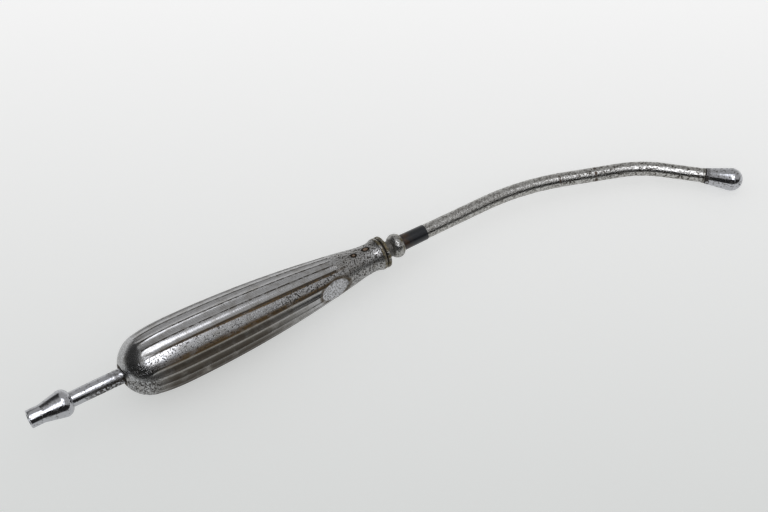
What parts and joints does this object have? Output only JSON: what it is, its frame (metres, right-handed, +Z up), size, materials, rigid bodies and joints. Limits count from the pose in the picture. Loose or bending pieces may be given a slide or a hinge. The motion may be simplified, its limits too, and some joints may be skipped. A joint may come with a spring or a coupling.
{
  "type": "suction tip",
  "caption": "Lying surgical suction tube: hollow fluted handle with finger flat, olive hose nipple behind, and a bent tube with ball tip that both screw off in front.",
  "frame": {"origin": "centre of the underside of the bounding box, on the surface that the instrument lies on", "axes": "+X along the handle, seen from above, from the hose nipple to the tip; the tube bends towards -Y; +Z up"},
  "size_m": [0.277, 0.0552, 0.0243],
  "materials": {
    "bright_plate": "bright nickel-chrome plate on brass, lightly worn",
    "pitted_plate": "old plate on brass, pitted and speckled, brown patina in the hollows",
    "satin_plate": "old plate on brass tube, satin, with fine specks and spots of wear",
    "worn_rim": "turned brass with the plate worn through on its edges",
    "bare_brass": "bare turned brass, darkened",
    "black_oxide": "thin black sleeve, satin, brown where it is rubbed",
    "fibre": "dark brown fibre washer"
  },
  "bodies": {
    "handle": {"hose_nipple": "bright_plate", "stem_tube": "bright_plate", "rear_bush": "bare_brass", "handle_shell_upper": "pitted_plate", "handle_shell_lower": "pitted_plate", "front_collar": "worn_rim"},
    "coupling_washer": {"coupling_seal": "fibre"},
    "suction_tube": {"tube_coupling": "worn_rim", "bent_tube": "satin_plate", "tube_sleeve": "black_oxide", "tip_bush": "bare_brass"},
    "tip_washer": {"tip_seal": "fibre"},
    "tip": {"ball_tip": "bright_plate"}
  },
  "joints": [
    {"name": "coupling_advance", "type": "slide", "parent": "handle", "child": "coupling_washer", "axis": [0.9994, 0, -0.036], "range_m": [0, 0.005]},
    {"name": "coupling_turn", "type": "hinge", "parent": "coupling_washer", "child": "suction_tube", "pos_m": [-0.00096, 0.01549, 0.00926], "axis": [0.9994, 0, -0.036], "range_deg": [0, 1800]},
    {"name": "tip_advance", "type": "slide", "parent": "suction_tube", "child": "tip_washer", "axis": [0.7485, -0.6626, -0.0269], "range_m": [0, 0.003]},
    {"name": "tip_turn", "type": "hinge", "parent": "tip_washer", "child": "tip", "pos_m": [0.1268, -0.0167, 0.00466], "axis": [0.7485, -0.6626, -0.0269], "range_deg": [0, 1440]}
  ],
  "couplings": [
    {"joint": "coupling_turn", "follows": "coupling_advance", "rad_per_m": 6283.2},
    {"joint": "tip_turn", "follows": "tip_advance", "rad_per_m": 8377.6}
  ]
}
